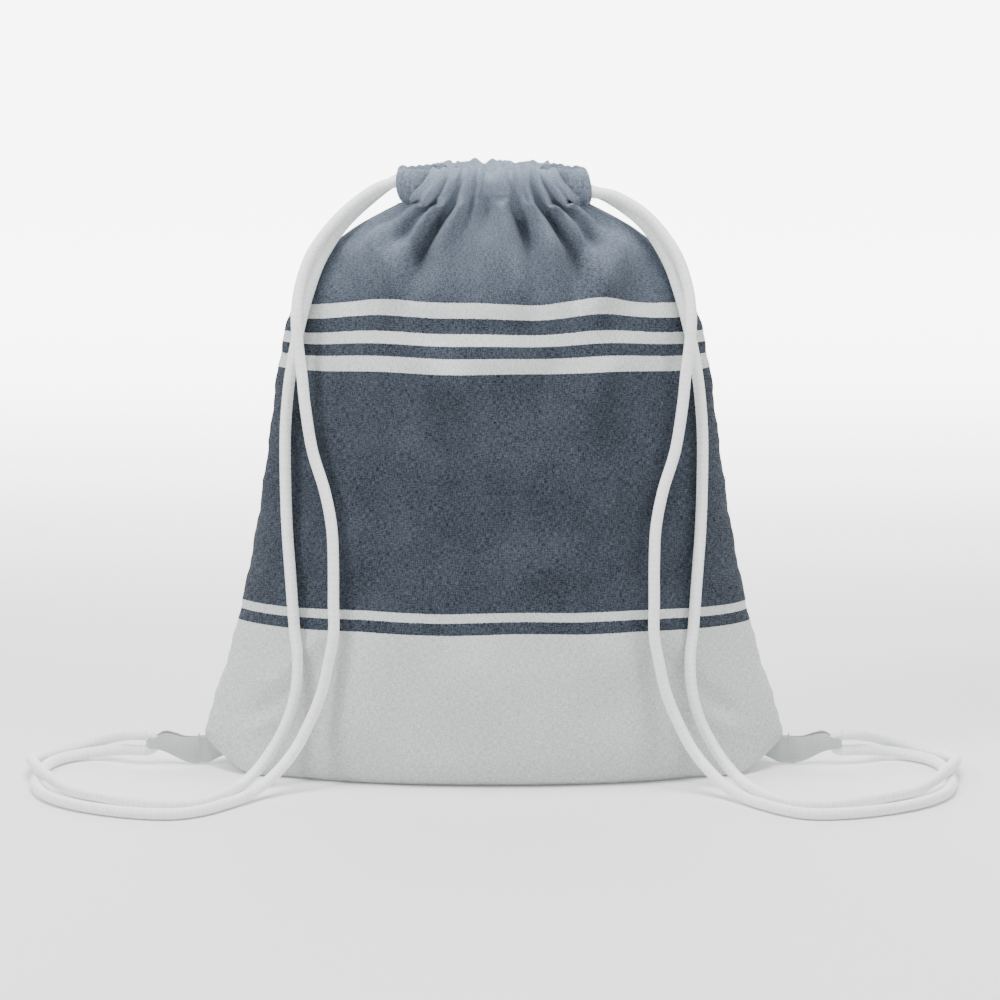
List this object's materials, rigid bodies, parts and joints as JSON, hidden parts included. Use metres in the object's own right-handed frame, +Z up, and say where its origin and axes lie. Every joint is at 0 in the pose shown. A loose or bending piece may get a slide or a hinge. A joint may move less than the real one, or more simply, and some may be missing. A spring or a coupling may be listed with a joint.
{
  "type": "drawstring backpack",
  "caption": "Cotton drawstring backpack with horizontal stripes, its mouth drawn shut by cords that also serve as shoulder straps.",
  "frame": {"origin": "middle of the base where the bag stands on the floor, measured without the free cords", "axes": "+Z up, +X to the right as the front is seen, -Y out of the front"},
  "size_m": [0.5414, 0.1932, 0.3486],
  "materials": {
    "striped_cotton": "soft woven cotton, blue-grey with white stripes and a white base",
    "cotton_tape": "flat woven tape",
    "cotton_cord": "braided, matt",
    "sewing_thread": "twisted thread",
    "hem_thread": "twisted thread in the blue-grey of the cloth"
  },
  "bodies": {
    "bag": {"front_panel": "striped_cotton", "back_panel": "striped_cotton", "front_casing": "striped_cotton", "back_casing": "striped_cotton", "left_seam": "striped_cotton", "right_seam": "striped_cotton", "bottom_seam": "striped_cotton", "front_hem_stitch": "hem_thread", "back_hem_stitch": "hem_thread", "left_cord_in_casing": "cotton_cord", "right_cord_in_casing": "cotton_cord", "left_cord_front": "cotton_cord", "left_cord_back": "cotton_cord", "right_cord_front": "cotton_cord", "right_cord_back": "cotton_cord"},
    "left_tab": {"left_tab": "cotton_tape", "left_tab_tack": "sewing_thread", "left_cord_bight": "cotton_cord"},
    "right_tab": {"right_tab": "cotton_tape", "right_tab_tack": "sewing_thread", "right_cord_bight": "cotton_cord"}
  },
  "joints": [
    {"name": "left_tab_swing", "type": "hinge", "parent": "bag", "child": "left_tab", "pos_m": [-0.17, 0, 0.011], "axis": [0, 0, 1], "range_deg": [-15, 15]},
    {"name": "right_tab_swing", "type": "hinge", "parent": "bag", "child": "right_tab", "pos_m": [0.17, 0, 0.011], "axis": [0, 0, 1], "range_deg": [-15, 15]}
  ]
}
